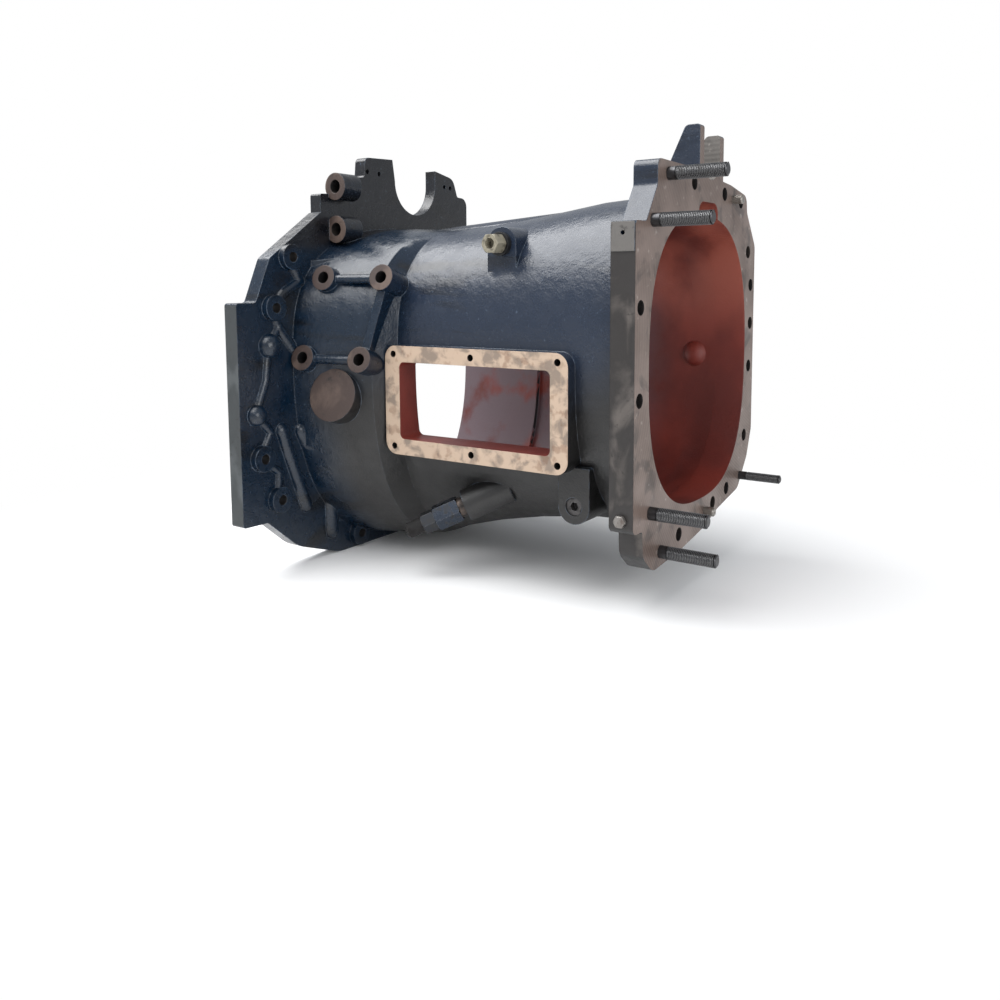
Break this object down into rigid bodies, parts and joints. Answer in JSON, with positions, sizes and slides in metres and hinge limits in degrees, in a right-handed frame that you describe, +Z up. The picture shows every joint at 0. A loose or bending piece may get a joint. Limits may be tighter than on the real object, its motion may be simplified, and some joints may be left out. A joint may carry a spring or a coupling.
{
  "type": "gearbox housing",
  "caption": "Cast front gearbox housing: bell flange, open oval barrel with a side window, and a studded rear flange with a shaft saddle.",
  "frame": {"origin": "centre of the rear opening, in the plane of the machined rear face", "axes": "+X along the shaft line to the rear, out of the rear face; +Z up; the side window and its cover face look to -Y"},
  "size_m": [0.57, 0.5558, 0.573],
  "materials": {
    "black_plastic": "matt",
    "blue_painted_iron": "worn dark blue paint on cast iron, bare on machined faces",
    "bright_steel": "worn steel",
    "cream_plastic": "satin, stained",
    "dark_steel": "oily dark steel",
    "fitting_steel": "oily plated steel",
    "stud_steel": "dark threaded steel"
  },
  "bodies": {
    "root": {"housing": "blue_painted_iron", "rear_studs": "stud_steel", "small_stud": "stud_steel", "dowel_pins": "bright_steel", "edge_plug": "bright_steel", "socket_plug": "dark_steel", "sensor_collar": "black_plastic", "sensor_body": "cream_plastic", "port_collar": "dark_steel", "port_adapter": "fitting_steel", "port_nut": "fitting_steel", "port_cap": "dark_steel"}
  },
  "joints": []
}
